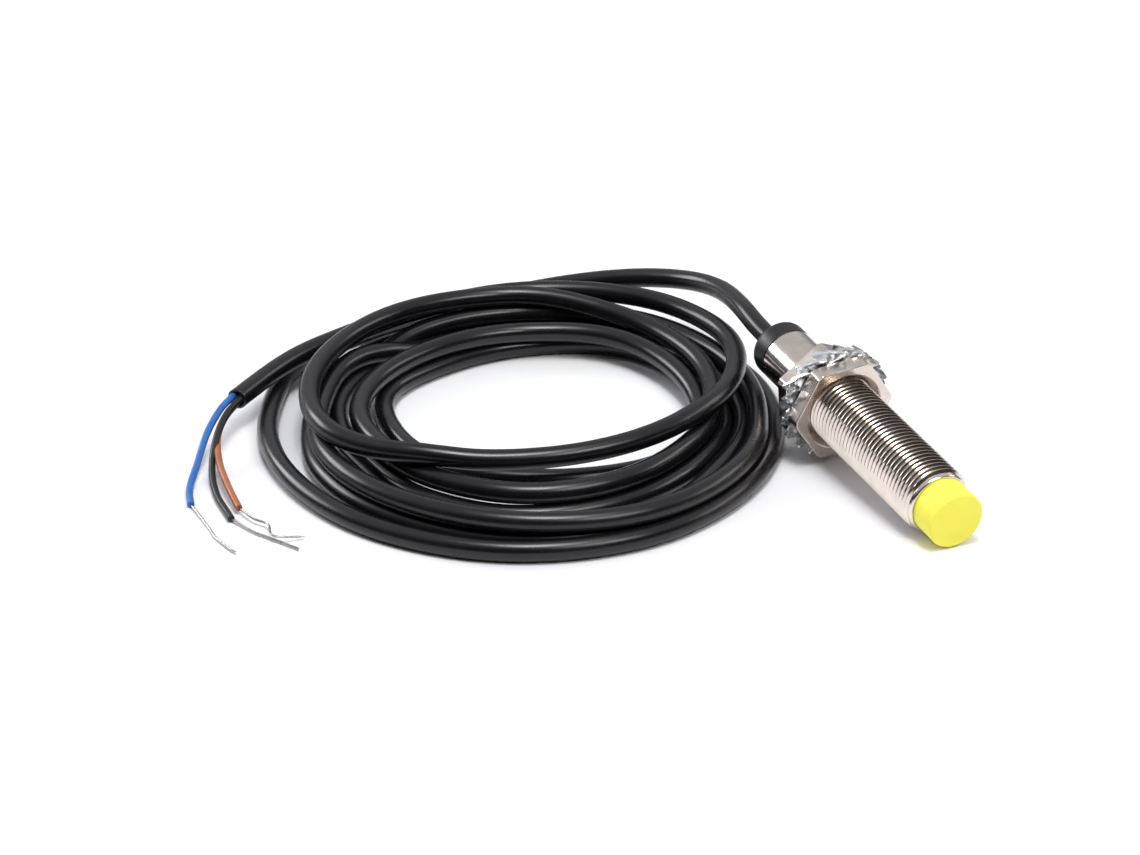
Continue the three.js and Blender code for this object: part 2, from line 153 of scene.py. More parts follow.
class CableSettings(bpy.types.PropertyGroup):
    """Sizes and colours of the cable and its cores"""

    diameter: length_property("Cable diameter", "Outer diameter of the jacket", 0.0037)
    core_diameter: length_property("Core diameter", "Outer diameter of a core", 0.00124)
    strand_diameter: length_property("Strand diameter", "Diameter of one fine wire", 0.00017)
    strand_count: IntProperty(
        name="Strands", description="Fine wires in each core", default=7, min=3, max=24
    )
    # The jacket is near-black. The faint violet tint in this colour is a painted sheen tone,
    # standing in for the violet-grey of its reflections.
    jacket: colour_property("Jacket", "Colour of the jacket", (0.0046, 0.0041, 0.0058))
    blue: colour_property("Blue core", "Colour of the blue core", (0.022, 0.13, 0.42))
    brown: colour_property("Brown core", "Colour of the brown core", (0.36, 0.115, 0.045))
    black: colour_property("Black core", "Colour of the black core", (0.006, 0.0055, 0.006))
    tin: colour_property("Tinned strands", "Colour of the bare wires", (0.52, 0.50, 0.48))


class SensorSettings(bpy.types.PropertyGroup):
    """Sizes and colours of the barrel and its two end caps"""

    thread_radius: length_property("Thread radius", "Over the thread's crests", 0.006)
    thread_pitch: length_property("Thread pitch", "Advance of the thread per turn", 0.001)
    thread_depth: length_property("Thread depth", "From crest to root", 0.00062)
    thread_start: length_property("Thread start", "From the barrel's rear end", 0.0082)
    barrel_length: length_property("Barrel length", "Of the metal tube", 0.0504)
    smooth_radius: length_property("Smooth radius", "Of the plain ring at the rear", 0.0052)
    cap_radius: length_property("Cap radius", "Of the sensing cap", 0.005)
    cap_front: length_property("Cap front", "Sensing face, from the barrel's rear", 0.0557)
    plating: colour_property("Nickel plating", "Colour of the barrel and nuts", (0.77, 0.69, 0.625))
    cap_colour: colour_property("Sensing cap", "Colour of the sensing cap", (1.0, 0.92, 0.09))
    end_colour: colour_property("Rear cap", "Colour of the rear cap", (0.006, 0.0058, 0.0068))


class FastenerSettings(bpy.types.PropertyGroup):
    """Sizes and colours of the nuts and lock washers"""

    across_flats: length_property("Across flats", "Of each nut", 0.0167)
    corner_radius: length_property("Corner radius", "Where the nut's corners are cut", 0.0094)
    nut_thickness: length_property("Nut thickness", "Of each nut", 0.003)
    countersink_radius: length_property("Countersink radius", "At the nut's faces", 0.0072)
    washer_radius: length_property("Washer radius", "Over the washer's teeth", 0.0102)
    washer_rim: length_property("Washer rim radius", "Inside the washer's teeth", 0.0083)
    washer_bore: length_property("Washer bore radius", "Of the washer's hole", 0.0063)
    washer_sheet: length_property("Washer sheet", "Thickness of the washer's steel", 0.00048)
    teeth: IntProperty(
        name="Teeth", description="Twisted teeth on each washer", default=16, min=8, max=32
    )
    tooth_twist: FloatProperty(
        name="Tooth twist", description="Twist of each tooth about its own radius",
        default=math.radians(40), subtype="ANGLE", unit="ROTATION",
    )
    zinc: colour_property("Zinc plating", "Colour of the washers", (0.93, 0.95, 0.97))


class StageSettings(bpy.types.PropertyGroup):
    """The floor, the studio light and the camera"""

    floor_size: length_property("Floor size", "Side of the floor", 6.0)
    floor_colour: colour_property("Floor", "Colour of the floor", (0.86, 0.86, 0.89))
    key_power: amount_property("Key light", "Of the overhead light", 3.0, unit="POWER")
    fill_power: amount_property("Fill light", "Of the right and front lights", 2.2, unit="POWER")
    back_power: amount_property("Back light", "Of the light behind the sensor", 5.0, unit="POWER")
    wash: amount_property("Soft wash", "Strength of the even light over the whole floor", 0.9)
    sky: amount_property("Sky", "Brightness of the studio's walls", 0.62)


# ---- making meshes


def merge(bm, distance):
    bmesh.ops.remove_doubles(bm, verts=bm.verts, dist=distance)


def everything(bm):
    return bm.verts[:] + bm.edges[:] + bm.faces[:]


def spun(bm, geom, angle, steps, advance=0.0, **options):
    """Spins the geometry about x, moving it forward by advance mm a step."""
    bmesh.ops.spin(
        bm, geom=geom, cent=(0, 0, 0), axis=(1, 0, 0), dvec=(advance, 0, 0), angle=angle,
        steps=steps, **options,
    )


def turned(profile, steps, start=0.0):
    """A bmesh of (x, radius) points spun all the way round the barrel's axis."""
    bm = bmesh.new()
    verts = [
        bm.verts.new((x, r * math.cos(start), r * math.sin(start))) for x, r in profile
    ]
    edges = [bm.edges.new(pair) for pair in zip(verts, verts[1:])]
    spun(bm, verts + edges, 2 * math.pi, steps, use_merge=True)
    merge(bm, 1e-5)
    return bm


def rounded(profile, radii, steps=4):
    """The profile with each corner that has a radius replaced by an arc. All in mm."""
    out = []
    for k, (x, r) in enumerate(profile):
        radius = radii.get(k, 0.0)
        if not radius:
            out.append((x, r))
            continue
        corner = Vector((x, r))
        before = (Vector(profile[k - 1]) - corner).normalized()
        after = (Vector(profile[k + 1]) - corner).normalized()
        half = before.angle(after) / 2
        reach = radius / math.tan(half)
        middle = corner + (before + after).normalized() * (radius / math.sin(half))
        first = corner + before * reach - middle
        last = corner + after * reach - middle
        turn = first.angle(last)
        for i in range(steps + 1):
            t = i / steps
            spoke = (
                first * math.sin((1 - t) * turn) + last * math.sin(t * turn)
            ) / math.sin(turn)
            out.append(tuple(middle + spoke))
    return out


THREAD_STEPS = 96  # of one turn
CREST_FLAT, ROOT_FLAT = 0.16, 0.12  # of the pitch


def screw_thread(crest, root, pitch, start, end):
    """A bmesh of a right-hand thread's flanks from x = start to x = end, open at both ends."""
    half = pitch / 2
    ease = 0.1 * (crest - root)  # the crests and roots are slightly rounded
    shallow, steep = ease * 0.25, ease * 1.4
    crest_half, root_half = CREST_FLAT * pitch / 2, ROOT_FLAT * pitch / 2
    profile = [
        (0, crest), (crest_half * 0.7, crest - shallow), (crest_half * 1.35, crest - steep),
        (half - root_half * 1.5, root + steep), (half - root_half * 0.7, root + shallow),
        (half, root), (half + root_half * 0.7, root + shallow),
        (half + root_half * 1.5, root + steep), (pitch - crest_half * 1.35, crest - steep),
        (pitch - crest_half * 0.7, crest - shallow), (pitch, crest),
    ]
    first_turn = math.floor(start / pitch) - 2  # two turns more at each end, cut off below
    turns = math.ceil((end - start) / pitch) + 4
    bm = bmesh.new()
    verts = [bm.verts.new((first_turn * pitch + x, 0, r)) for x, r in profile]
    edges = [bm.edges.new(pair) for pair in zip(verts, verts[1:])]
    spun(
        bm, verts + edges, 2 * math.pi, THREAD_STEPS, advance=pitch / THREAD_STEPS,
        use_merge=False,
    )
    spun(bm, everything(bm), 0, turns - 1, advance=pitch, use_duplicate=True)
    merge(bm, 1e-4)
    for x, side in ((start, -1), (end, 1)):
        bmesh.ops.bisect_plane(
            bm, geom=everything(bm), dist=1e-5, plane_co=(x, 0, 0), plane_no=(side, 0, 0),
            clear_outer=True,
        )
    return bm


def rim(bm, x):
    """The open edges that lie in the plane x."""
    return [
        e for e in bm.edges
        if e.is_boundary and all(abs(v.co.x - x) < 1e-3 for v in e.verts)
    ]


def step_to(bm, edges, x, radius):
    """Extrudes open edges to a circle of that radius in the plane x."""
    made = bmesh.ops.extrude_edge_only(bm, edges=edges)["geom"]
    for v in (g for g in made if isinstance(g, bmesh.types.BMVert)):
        spoke = Vector((0, v.co.y, v.co.z)).normalized() * radius
        v.co = Vector((x, spoke.y, spoke.z))
    return [g for g in made if isinstance(g, bmesh.types.BMEdge) and g.is_boundary]


def keep_within(bm, limit):
    """Pulls each vertex in to the greatest radius that limit(vertex) allows."""
    for v in bm.verts:
        radius = math.hypot(v.co.y, v.co.z)
        most = limit(v.co)
        if radius > most:
            v.co.y *= most / radius
            v.co.z *= most / radius


def placed(name, data):
    """A new object in the scene."""
    thing = bpy.data.objects.new(name, data)
    bpy.context.scene.collection.objects.link(thing)
    return thing


def finished(bm, name, place, material, body, nodes=(), sharp=30.0):
    """Turns the bmesh into a piece: places it, faces it outwards and shades it."""
    bmesh.ops.transform(bm, matrix=place, verts=bm.verts)
    bmesh.ops.recalc_face_normals(bm, faces=bm.faces)
    mesh = bpy.data.meshes.new(name)
    bm.to_mesh(mesh)
    bm.free()
    mesh.polygons.foreach_set("use_smooth", [True] * len(mesh.polygons))
    mesh.set_sharp_from_angle(angle=math.radians(sharp))
    mesh.materials.append(material)
    piece = placed(name, mesh)
    attach(piece, body, nodes)
    return piece


def attach(piece, body, nodes=()):
    """Lets the piece ride on the body, and stand for the CAD nodes."""
    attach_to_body(piece, body)
    if nodes:
        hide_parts(*nodes)


def joined(target, source):
    """Adds a second bmesh to the first."""
    mesh = bpy.data.meshes.new("joined")
    source.to_mesh(mesh)
    source.free()
    target.from_mesh(mesh)
    bpy.data.meshes.remove(mesh)


# ---- materials


class Finish:
    """A material, with its shader and helpers for its nodes."""

    def __init__(self, name, colour, roughness, metallic=0.0):
        self.material = bpy.data.materials.new(name)
        self.material.use_nodes = True
        self.nodes = self.material.node_tree.nodes
        self.links = self.material.node_tree.links
        self.shader = self.nodes["Principled BSDF"]
        self.place = self.nodes.new("ShaderNodeTexCoord").outputs["Object"]
        self.set("Base Color", (*colour, 1.0))
        self.set("Roughness", roughness)
        self.set("Metallic", metallic)
        self.material.diffuse_color = (*colour, 1.0)

    def set(self, socket, value):
        self.shader.inputs[socket].default_value = value

    def add(self, kind, **numbers):
        """A new node of that kind, with its inputs set to the numbers."""
        node = self.nodes.new(f"ShaderNode{kind}")
        for socket, number in numbers.items():
            node.inputs[socket].default_value = number
        return node

    def noise(self, scale, detail=3.0, stretch=None):
        """Noise in Object coordinates, or stretched along the barrel."""
        node = self.add("TexNoise", Scale=scale, Detail=detail)
        place = self.place
        if stretch:
            mapping = self.add("Mapping", Scale=stretch, Rotation=(0, -TILT, 0))
            self.links.new(place, mapping.inputs["Vector"])
            place = mapping.outputs["Vector"]
        self.links.new(place, node.inputs["Vector"])
        return node.outputs["Fac"]

    def colours(self, value, *stops):
        """Colours the surface by the value. Each stop is (position, colour)."""
        node = self.add("ValToRGB")
        ramp = node.color_ramp
        for position, _ in stops[2:]:
            ramp.elements.new(position)
        for element, (position, colour) in zip(ramp.elements, sorted(stops)):
            element.position = position
            element.color = (*colour, 1.0)
        self.links.new(value, node.inputs["Fac"])
        self.links.new(node.outputs["Color"], self.shader.inputs["Base Color"])

    def rough(self, value, low, high):
        """Roughness from low to high by the value's middle range."""
        ends = {"From Min": 0.3, "From Max": 0.7, "To Min": low, "To Max": high}
        node = self.add("MapRange", **ends)
        self.links.new(value, node.inputs["Value"])
        self.links.new(node.outputs["Result"], self.shader.inputs["Roughness"])

    def bump(self, value, distance, strength):
        node = self.add("Bump", Strength=strength, Distance=distance)
        self.links.new(value, node.inputs["Height"])
        self.links.new(node.outputs["Normal"], self.shader.inputs["Normal"])


def lighter(colour, factor):
    """The colour times the factor, up to 1."""
    return tuple(min(1.0, c * factor) for c in colour)


def plated_metal(name, colour, roughness, brushed=1.0, grain=60.0):
    """Plated metal with slight cloudiness, fine turning marks and pits.

    brushed squeezes the marks along the barrel.
    """
    finish = Finish(name, colour, roughness, metallic=1.0)
    cloud = finish.noise(260, 4)
    finish.colours(
        cloud, (0.25, lighter(colour, 0.86)), (0.55, colour), (0.8, lighter(colour, 1.08))
    )
    fine = finish.noise(grain, 5, stretch=(brushed, 1.0, 1.0))
    finish.rough(fine, roughness * 0.75, roughness * 1.4)
    finish.bump(finish.noise(2600), 0.00001, 0.25)
    return finish.material


def moulded_plastic(name, colour, roughness):
    """Moulded plastic with a faint grain and uneven gloss."""
    finish = Finish(name, colour, roughness)
    cloud = finish.noise(300)
    finish.colours(cloud, (0.3, lighter(colour, 0.93)), (0.7, lighter(colour, 1.04)))
    finish.rough(finish.noise(900, 4), roughness * 0.85, roughness * 1.15)
    finish.bump(finish.noise(1800), 0.00002, 0.3)
    return finish.material


def cable_jacket(name, colour):
    """Soft black PVC: a sheen, lighter scuffs and slight waviness."""
    finish = Finish(name, colour, 0.27)
    finish.set("IOR", 1.45)
    finish.set("Specular IOR Level", 0.55)
    scuffs = finish.noise(420, 6)
    finish.colours(
        scuffs, (0.3, lighter(colour, 0.8)), (0.6, colour), (0.82, lighter(colour, 1.5))
    )
    finish.rough(finish.noise(70), 0.23, 0.31)
    finish.bump(finish.noise(900, 2), 0.000006, 0.1)
    return finish.material


def core_insulation(name, colour):
    """PVC of one core, with uneven gloss and slight waviness."""
    finish = Finish(name, colour, 0.38)
    finish.colours(
        finish.noise(500), (0.3, lighter(colour, 0.85)), (0.7, lighter(colour, 1.15))
    )
    finish.rough(finish.noise(700), 0.3, 0.48)
    finish.bump(finish.noise(1700, 2), 0.00003, 0.3)
    return finish.material


# ---- cords


FINE_STEPS = 120  # for each point of a path, before it is cut into equal steps


def smooth_path(points, step):
    """A curve through the points, cut into equal steps. Points and steps in mm."""
    p = np.asarray(points, float)
    gaps = np.linalg.norm(np.diff(p, axis=0), axis=1) ** 0.5
    knots = np.r_[0, np.cumsum(gaps)]
    slopes = np.zeros_like(p)
    before, after = gaps[:-1, None], gaps[1:, None]
    slopes[1:-1] = (
        (p[1:-1] - p[:-2]) / before * after + (p[2:] - p[1:-1]) / after * before
    ) / (before + after)
    slopes[0] = (p[1] - p[0]) / gaps[0]
    slopes[-1] = (p[-1] - p[-2]) / gaps[-1]
    where = np.linspace(0, knots[-1], FINE_STEPS * len(p))
    k = np.clip(np.searchsorted(knots, where, side="right") - 1, 0, len(gaps) - 1)
    h = gaps[k][:, None]
    s = ((where - knots[k]) / gaps[k])[:, None]
    fine = (
        (2 * s**3 - 3 * s**2 + 1) * p[k] + (s**3 - 2 * s**2 + s) * h * slopes[k]
        + (3 * s**2 - 2 * s**3) * p[k + 1] + (s**3 - s**2) * h * slopes[k + 1]
    )
    run = np.r_[0, np.cumsum(np.linalg.norm(np.diff(fine, axis=0), axis=1))]
    even = np.linspace(0, run[-1], int(round(run[-1] / step)) + 1)
    return np.stack([np.interp(even, run, fine[:, axis]) for axis in range(3)], 1)


def coil_route():
    """The cable's wanted centreline: out of the rear cap, seven loose turns, and the tail."""
    points = [tuple(on_axis(x)) for x in (CABLE_START, CABLE_EXIT, CABLE_EXIT - STRAIGHT_OUT)]
    points += LEAD_ROUTE
    for turn in COIL_TURNS:
        for step, (radius, height) in enumerate(turn):
            angle = math.radians(TURN_START + TURN_STEP * step)
            right, away = radius * math.cos(angle), radius * math.sin(angle)
            points.append((
                COIL_CENTRE[0] + right * COIL_RIGHT[0] + away * COIL_AWAY[0],
                COIL_CENTRE[1] + right * COIL_RIGHT[1] + away * COIL_AWAY[1],
                height,
            ))
    return points + TAIL_ROUTE


# What the cable keeps clear of, with room for the nuts to turn: (x on the barrel, radius there).
SENSOR_OUTLINE = [
    (-8, 0), (-6.8, 0), (-6.7, 5.2), (4, 5.2), (6.9, 9.55), (21.4, 9.55), (24.5, 6), (60, 6)
]
SETTLE_STEPS = 400
LOOSE_STEPS = 250  # after these, the path pulls less
PAIR_STEPS = 20  # steps between two searches for strands that lie close
PAIR_REACH = 2.0  # mm of room past touching that such a search looks over
STRAND_GAP = 0.05  # mm between two strands that lie on each other
SENSOR_GAP = 0.15  # mm between the cable and the sensor
NEIGHBOURS = 5  # points this close along the cable never push each other
FIXED_START = 8  # points of the straight run out of the rear cap
FIXED_END = 3
CLEAR_START = 30  # points of the lead that aren't pushed off the sensor
TINY = 1e-9  # mm, instead of a distance of 0


def settled(path, radius):
    """Lets the cable lie near its path: strands push each other apart and bends even out.

    All in mm. The path's points are evenly spaced.
    """
    wanted, now = path.copy(), path.copy()
    count = len(path)
    order = np.arange(count)
    free = np.ones((count, 1))
    free[:FIXED_START] = 0
    free[-FIXED_END:] = 0
    apart = 2 * radius + STRAND_GAP
    axis, rear = np.array(AXIS), np.array(BARREL_REAR)
    outline_x, outline_r = zip(*SENSOR_OUTLINE)
    for step in range(SETTLE_STEPS):
        if step % PAIR_STEPS == 0:
            gap = np.linalg.norm(now[:, None] - now[None], axis=-1)
            a, b = np.nonzero(
                (gap < apart + PAIR_REACH) & (order[None] - order[:, None] > NEIGHBOURS)
            )
        for _ in range(2):
            between = now[a] - now[b]
            gap = np.linalg.norm(between, axis=1)
            share = np.maximum(apart - gap, 0) / np.maximum(gap, TINY) * 0.5
            push, touching = np.zeros_like(now), np.zeros(count)
            np.add.at(push, a, between * share[:, None])
            np.add.at(push, b, -between * share[:, None])
            np.add.at(touching, a, share > 0)
            np.add.at(touching, b, share > 0)
            now += push / np.maximum(touching / 1.5, 1)[:, None] * free
        bend = np.zeros_like(now)
        bend[2:-2] = (
            -now[:-4] + 4 * now[1:-3] - 6 * now[2:-2] + 4 * now[3:-1] - now[4:]
        ) / 16
        now += 0.7 * bend * free
        now += (0.05 if step < LOOSE_STEPS else 0.01) * (wanted - now) * free
        along = (now - rear) @ axis
        outline = np.interp(along, outline_x, outline_r)
        out = now - (rear + axis * along[:, None])
        distance = np.maximum(np.linalg.norm(out, axis=1), TINY)
        short = outline + radius + SENSOR_GAP - distance
        hit = (short > 0) & (outline > 0) & (order > CLEAR_START)
        now[hit] += (out / distance[:, None] * short[:, None])[hit]
        now[:, 2] = np.maximum(now[:, 2], radius)
    return now


def cord_curve(name, points, radius, material, resolution=4, sides=8):
    """A round cord along smooth splines. points is a path, or a list of paths for several wires."""
    curve = bpy.data.curves.new(name, "CURVE")
    curve.dimensions = "3D"
    curve.bevel_depth = radius * MM
    curve.bevel_resolution = sides
    curve.resolution_u = resolution
    curve.use_fill_caps = True
    for path in points if isinstance(points, list) else [points]:
        spline = curve.splines.new("BEZIER")
        spline.bezier_points.add(len(path) - 1)
        for knot, place in zip(spline.bezier_points, path):
            knot.co = Vector(place) * MM
            knot.handle_left_type = knot.handle_right_type = "AUTO"
    curve.materials.append(material)
    return placed(name, curve)


def carried_frames(path):
    """Two directions across the path at each point, turning no more than the path does."""
    ahead = np.gradient(path, axis=0)
    ahead /= np.linalg.norm(ahead, axis=1)[:, None]
    side = np.cross(ahead[0], (0.0, 0.0, 1.0))
    side /= np.linalg.norm(side)
    first, second = [], []
    for direction in ahead:
        side = side - direction * (side @ direction)
        side = side / np.linalg.norm(side)
        first.append(side)
        second.append(np.cross(direction, side))
    return np.array(first), np.array(second)


# ---- operators

CAMERA_AZIMUTH = math.radians(64.234)
CAMERA_ELEVATION = math.radians(25.400)
CAMERA_PLACE = Vector((0.379049, -0.238145, 0.220558))
CAMERA_LENS = 91.579  # mm
CAMERA_WIDTH = 36.0  # mm, of the camera's sensor
LAMPS_TARGET = Vector((-0.03, -0.04, 0.0))
LAMPS = [  # name, place, width and height, power's setting and share of it, colour
    ("key_light", (0.22, -0.12, 0.90), (0.22, 0.22), "key_power", 1.0, (1.0, 1.0, 1.0)),
    ("right_light", (0.10, 1.05, 0.60), (0.8, 0.25), "fill_power", 1.0, (1.0, 0.98, 0.96)),
    ("back_light", (-0.86, -0.60, 0.46), (0.60, 0.30), "back_power", 1.0, (0.97, 0.97, 1.0)),
    ("front_light", (0.66, 0.14, 0.74), (0.40, 0.30), "fill_power", 1.4, (1.0, 1.0, 0.98)),
]
WASH_FROM = Vector((0.16, -0.04, 1.0))
WASH_SPREAD = math.radians(30)
SKY_UP = (-0.36, 0.1, 0.92)  # towards the brightest part of the studio's ceiling
SKY_DARK = (0.22, (0.06, 0.05, 0.045, 1.0))  # walls below and in front
SKY_BRIGHT = (0.75, (0.95, 0.97, 1.0, 1.0))


class SENSOR_OT_stage(bpy.types.Operator):
    """Make the floor, the studio light and the camera"""

    bl_idname = "sensor.stage"
    bl_label = "Stage"

    def execute(self, context):
        settings = context.scene.sensor_stage
        back = Vector((
            math.sin(CAMERA_AZIMUTH) * math.cos(CAMERA_ELEVATION),
            -math.cos(CAMERA_AZIMUTH) * math.cos(CAMERA_ELEVATION),
            math.sin(CAMERA_ELEVATION),
        ))
        lens = bpy.data.cameras.new("camera")
        lens.lens, lens.sensor_width, lens.sensor_fit = CAMERA_LENS, CAMERA_WIDTH, "HORIZONTAL"
        lens.clip_start, lens.clip_end = 0.01, 20.0
        camera = placed("camera", lens)
        camera.location = CAMERA_PLACE
        camera.rotation_euler = back.to_track_quat("Z", "Y").to_euler()
        context.scene.camera = camera

        bm = bmesh.new()
        bmesh.ops.create_grid(bm, x_segments=8, y_segments=8, size=settings.floor_size / 2)
        mesh = bpy.data.meshes.new("floor")
        bm.to_mesh(mesh)
        bm.free()
        finish = Finish("studio_floor", settings.floor_colour, 0.42)
        finish.set("Specular IOR Level", 0.35)
        finish.rough(finish.noise(6, 2), 0.38, 0.46)
        mesh.materials.append(finish.material)
        floor = placed("floor", mesh)

        for name, place, size, power, share, colour in LAMPS:
            lamp = bpy.data.lights.new(name, "AREA")
            lamp.shape = "RECTANGLE"
            lamp.size, lamp.size_y = size
            lamp.energy = getattr(settings, power) * share
            lamp.color = colour
            light = placed(name, lamp)
            light.location = place
            aim = (Vector(place) - LAMPS_TARGET).to_track_quat("Z", "Y")
            light.rotation_euler = aim.to_euler()

        wash = bpy.data.lights.new("soft_wash", "SUN")  # lights the far floor as evenly as the near
        wash.energy, wash.angle = settings.wash, WASH_SPREAD
        light = placed("soft_wash", wash)
        light.rotation_euler = WASH_FROM.to_track_quat("Z", "Y").to_euler()

        world = bpy.data.worlds.new("studio")
        world.use_nodes = True
        nodes, links = world.node_tree.nodes, world.node_tree.links
        sky = nodes["Background"]
        sky.inputs["Strength"].default_value = settings.sky
        height = nodes.new("ShaderNodeVectorMath")  # how far up and back a direction points
        height.operation = "DOT_PRODUCT"
        height.inputs[1].default_value = SKY_UP
        links.new(nodes.new("ShaderNodeTexCoord").outputs["Generated"], height.inputs[0])
        shade = nodes.new("ShaderNodeValToRGB")
        for element, (position, colour) in zip(shade.color_ramp.elements, (SKY_DARK, SKY_BRIGHT)):
            element.position, element.color = position, colour
        links.new(height.outputs["Value"], shade.inputs["Fac"])
        links.new(shade.outputs["Color"], sky.inputs["Color"])
        context.scene.world = world
        context.scene.view_settings.view_transform = "Standard"
        return {"FINISHED"}


class SENSOR_OT_cable(bpy.types.Operator):
    """Make the cable from the rear cap to its cut end, lying in its coil"""

    bl_idname = "sensor.cable"
    bl_label = "Cable"

    SPACING = 2.5  # mm between the points that settle
    END_RECESS = 0.9  # mm that the cores' filler sits back from the cut end
    BORE = 0.72  # of the jacket's radius
    SKIN_START = 0.45  # mm from the cut end's rim to the closed skin behind it
    END_STEPS = 48  # round the cut end

    def execute(self, context):
        settings = context.scene.sensor_cable
        radius = settings.diameter / 2 / MM
        jacket = cable_jacket("cable_jacket", settings.jacket)
        path = settled(smooth_path(coil_route(), self.SPACING), radius)
        tip = path[-1]
        ahead = path[-1] - path[-2]
        ahead /= np.linalg.norm(ahead)
        knots = np.vstack([path[:-1:2], [tip - ahead * self.END_RECESS]])
        cable = cord_curve("cable", knots, radius, jacket)
        attach(cable, "sensor", ("cable_lead", "cable_coil", "cable_tail"))

        bore = radius * self.BORE
        end = turned(
            rounded(
                [(-0.5, radius), (0.0, radius), (0.0, bore), (-self.END_RECESS, bore),
                 (-self.END_RECESS, 0)],
                {1: 0.12, 2: 0.1}, 3,
            ),
            self.END_STEPS,
        )
        for v in end.verts:  # the blade left the cut slightly uneven
            if v.co.x > -0.2:
                angle = math.atan2(v.co.z, v.co.y)
                v.co.x += 0.05 * math.sin(angle + 0.6) + 0.03 * math.sin(3 * angle + 1.0)
        place = (
            Matrix.Translation(Vector(tip) * MM)
            @ Vector(ahead).to_track_quat("X", "Z").to_matrix().to_4x4()
            @ ROW_FRAME
        )
        back = -self.END_RECESS - 0.2
        skin = [(back, 0), (back, radius * 0.98), (-self.SKIN_START, radius)]
        joined(end, turned(skin, self.END_STEPS))
        merge(end, 1e-3)
        cut = finished(end, "cable_cut_end", place, jacket, "sensor")
        return {"FINISHED"}


class SENSOR_OT_cores(bpy.types.Operator):
    """Make the three insulated cores and their bare twisted strands"""

    bl_idname = "sensor.cores"
    bl_label = "Cores"

    BUNDLE_RADIUS = 0.15  # mm, of the strands' centres
    TWIST = 0.95  # radians per mm
    STRAND_SPACING = 0.35  # mm between a strand's points
    CORE_SPACING = 1.2
    INSIDE_JACKET = 0.8  # mm that a core reaches back from the cut end
    SLOTS = {"blue": "blue_pvc", "brown": "brown_pvc", "black": "black_pvc"}

    def strands(self, settings, colour, tin):
        """Fine wires twisted round the bundle's route, opening a little at the tip."""
        route = smooth_path(STRAND_ROUTES[colour], self.STRAND_SPACING)
        side, up = carried_frames(route)
        run = np.arange(len(route)) * self.STRAND_SPACING
        share = run / run[-1]
        radius = settings.strand_diameter / 2 / MM
        wires = []
        for k in range(settings.strand_count):
            inner = k == 0
            spread = np.zeros_like(run) if inner else self.BUNDLE_RADIUS * (
                0.9 + 0.1 * np.sin(run * 0.9 + k) + 2.5 * np.clip(share - 0.9, 0, 1)
            )
            angle = 2 * math.pi * k / (settings.strand_count - 1) + self.TWIST * run
            wire = (
                route
                + side * (spread * np.cos(angle))[:, None]
                + up * (spread * np.sin(angle))[:, None]
            )
            wire = wire[: len(wire) - (k * 5) % 4]  # the strands are cut unevenly
            wire[:, 2] = np.maximum(wire[:, 2], radius)  # none goes through the floor
            wires.append(wire)
        piece = cord_curve(f"strands_{colour}_wires", wires, radius, tin, resolution=2, sides=2)
        attach(piece, "sensor", (f"strands_{colour}",))
        return piece

    def execute(self, context):
        settings = context.scene.sensor_cable
        tin = plated_metal("tinned_strands", settings.tin, 0.28, grain=900)
        radius = settings.core_diameter / 2 / MM
        for colour, route in CORE_ROUTES.items():
            plastic = core_insulation(f"{colour}_insulation", getattr(settings, colour))
            start, ahead = Vector(route[0]), Vector(route[1]) - Vector(route[0])
            back = start - ahead.normalized() * self.INSIDE_JACKET
            path = smooth_path([tuple(back), *route], self.CORE_SPACING)
            path[:, 2] = np.maximum(path[:, 2], radius + 0.01)
            core = cord_curve(f"core_{colour}_insulation", path, radius, plastic, sides=5)
            attach(core, "sensor", (f"core_{colour}",))
            strands = self.strands(settings, colour, tin)
        return {"FINISHED"}


class SENSOR_OT_barrel(bpy.types.Operator):
    """Make the plated barrel with its screw thread and smooth rear ring"""

    bl_idname = "sensor.barrel"
    bl_label = "Barrel"

    FRONT_LAND = 0.9  # mm of plain polished tube in front of the thread
    LAND_RISE = 0.12  # mm from the thread's root to that tube
    REAR_BORE = 4.8  # radius in mm
    CAP_SEAT = 4.0  # mm that the front bore reaches in

    def execute(self, context):
        settings = context.scene.sensor_body
        crest, pitch = settings.thread_radius / MM, settings.thread_pitch / MM
        root = crest - settings.thread_depth / MM
        start, end = settings.thread_start / MM, settings.barrel_length / MM
        smooth, land = settings.smooth_radius / MM, root + self.LAND_RISE
        bore = settings.cap_radius / MM - 0.02
        thread_end = end - self.FRONT_LAND

        bm = screw_thread(crest - 0.01, root, pitch, start, thread_end)
        keep_within(bm, lambda co: min(  # the thread runs out at both ends
            smooth + 0.12 + (co.x - start) * 1.4, land + 0.04 + (thread_end - co.x) * 1.2
        ))
        rear = step_to(bm, rim(bm, start), start, smooth)
        for x, radius in (
            (start - 0.02, smooth), (0.12, smooth), (0.0, smooth - 0.12), (0.0, self.REAR_BORE),
        ):
            rear = step_to(bm, rear, x, radius)
        front = step_to(bm, rim(bm, thread_end), thread_end, land)
        for x, radius in (
            (thread_end + 0.03, land), (end - 0.3, land), (end - 0.08, land - 0.12),
            (end, land - 0.25), (end, bore + 0.06), (end - 0.1, bore), (end - self.CAP_SEAT, bore),
        ):
            front = step_to(bm, front, x, radius)
        bmesh.ops.bridge_loops(bm, edges=rear + front)
        nickel = plated_metal("nickel_barrel", settings.plating, 0.14, brushed=6.0)
        finished(
            bm, "barrel_with_thread", BARREL_FRAME, nickel, "sensor",
            ("threaded_barrel",), sharp=34,
        )
        return {"FINISHED"}


